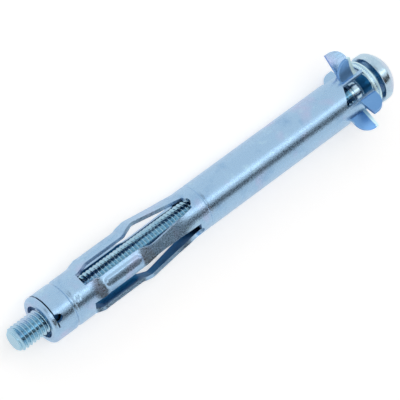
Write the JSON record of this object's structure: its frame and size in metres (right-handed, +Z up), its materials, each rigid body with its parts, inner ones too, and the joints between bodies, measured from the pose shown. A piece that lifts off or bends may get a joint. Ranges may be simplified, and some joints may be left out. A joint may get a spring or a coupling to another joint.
{
  "type": "hollow wall anchor",
  "caption": "Metal hollow wall anchor: a tubular sheet-steel sleeve with folding legs and anti-rotation wings, a captive nut and a pan-head screw.",
  "frame": {"origin": "centre of the resting anchor's footprint, on the surface it lies on", "axes": "+X along the anchor from the nut end to the screw head, +Z up"},
  "size_m": [0.0917, 0.0166, 0.0121],
  "materials": {
    "sleeve_steel": "blue-passivated zinc plate on pressed sheet steel",
    "nut_steel": "blue-passivated zinc plate",
    "screw_steel": "blue-passivated zinc plate"
  },
  "bodies": {
    "sleeve_with_nut": {"sleeve": "sleeve_steel", "nut": "nut_steel"},
    "screw_piece": {"screw": "screw_steel"}
  },
  "joints": [
    {"name": "screw_travel", "type": "slide", "parent": "sleeve_with_nut", "child": "screw_piece", "axis": [1, 0, 0], "range_m": [-0.00098, 0.01]}
  ]
}
